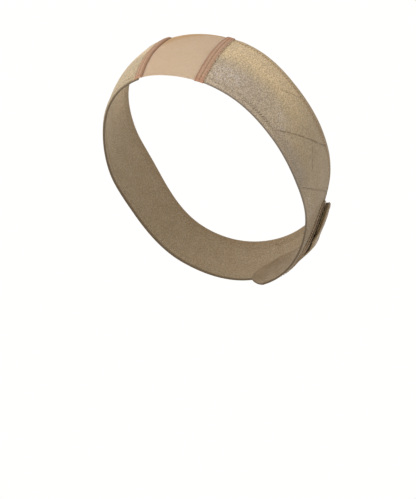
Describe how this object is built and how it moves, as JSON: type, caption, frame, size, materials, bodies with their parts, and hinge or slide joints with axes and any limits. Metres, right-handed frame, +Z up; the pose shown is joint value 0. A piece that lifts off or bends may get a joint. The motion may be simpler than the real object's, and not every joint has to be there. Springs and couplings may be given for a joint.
{
  "type": "wig grip band",
  "caption": "Velour headband that keeps a wig from slipping, in its worn form: a leaning loop with a sheer lace window in front, stitched seam tapes and a hook-and-loop lap at the nape.",
  "frame": {"origin": "middle of the head that wears the band, inside the loop, level with the widest part of the head", "axes": "+Z up the wearer's upright head, -Y to the front, +X to the wearer's left"},
  "size_m": [0.1599, 0.1823, 0.1726],
  "materials": {
    "velour": "short golden tan pile with a sparkling grain",
    "lace": "matte fine tan net",
    "seam_tape": "matte brown woven tape with a stitched middle",
    "loop_tape": "brown fuzzy loop pile",
    "hook_tape": "dark brown hook pile"
  },
  "bodies": {
    "root": {"lace_window": "lace", "seam_tape_left": "seam_tape", "seam_tape_right": "seam_tape", "wing_left": "velour", "wing_right": "velour", "loop_patch": "loop_tape", "hook_patch": "hook_tape"}
  },
  "joints": []
}
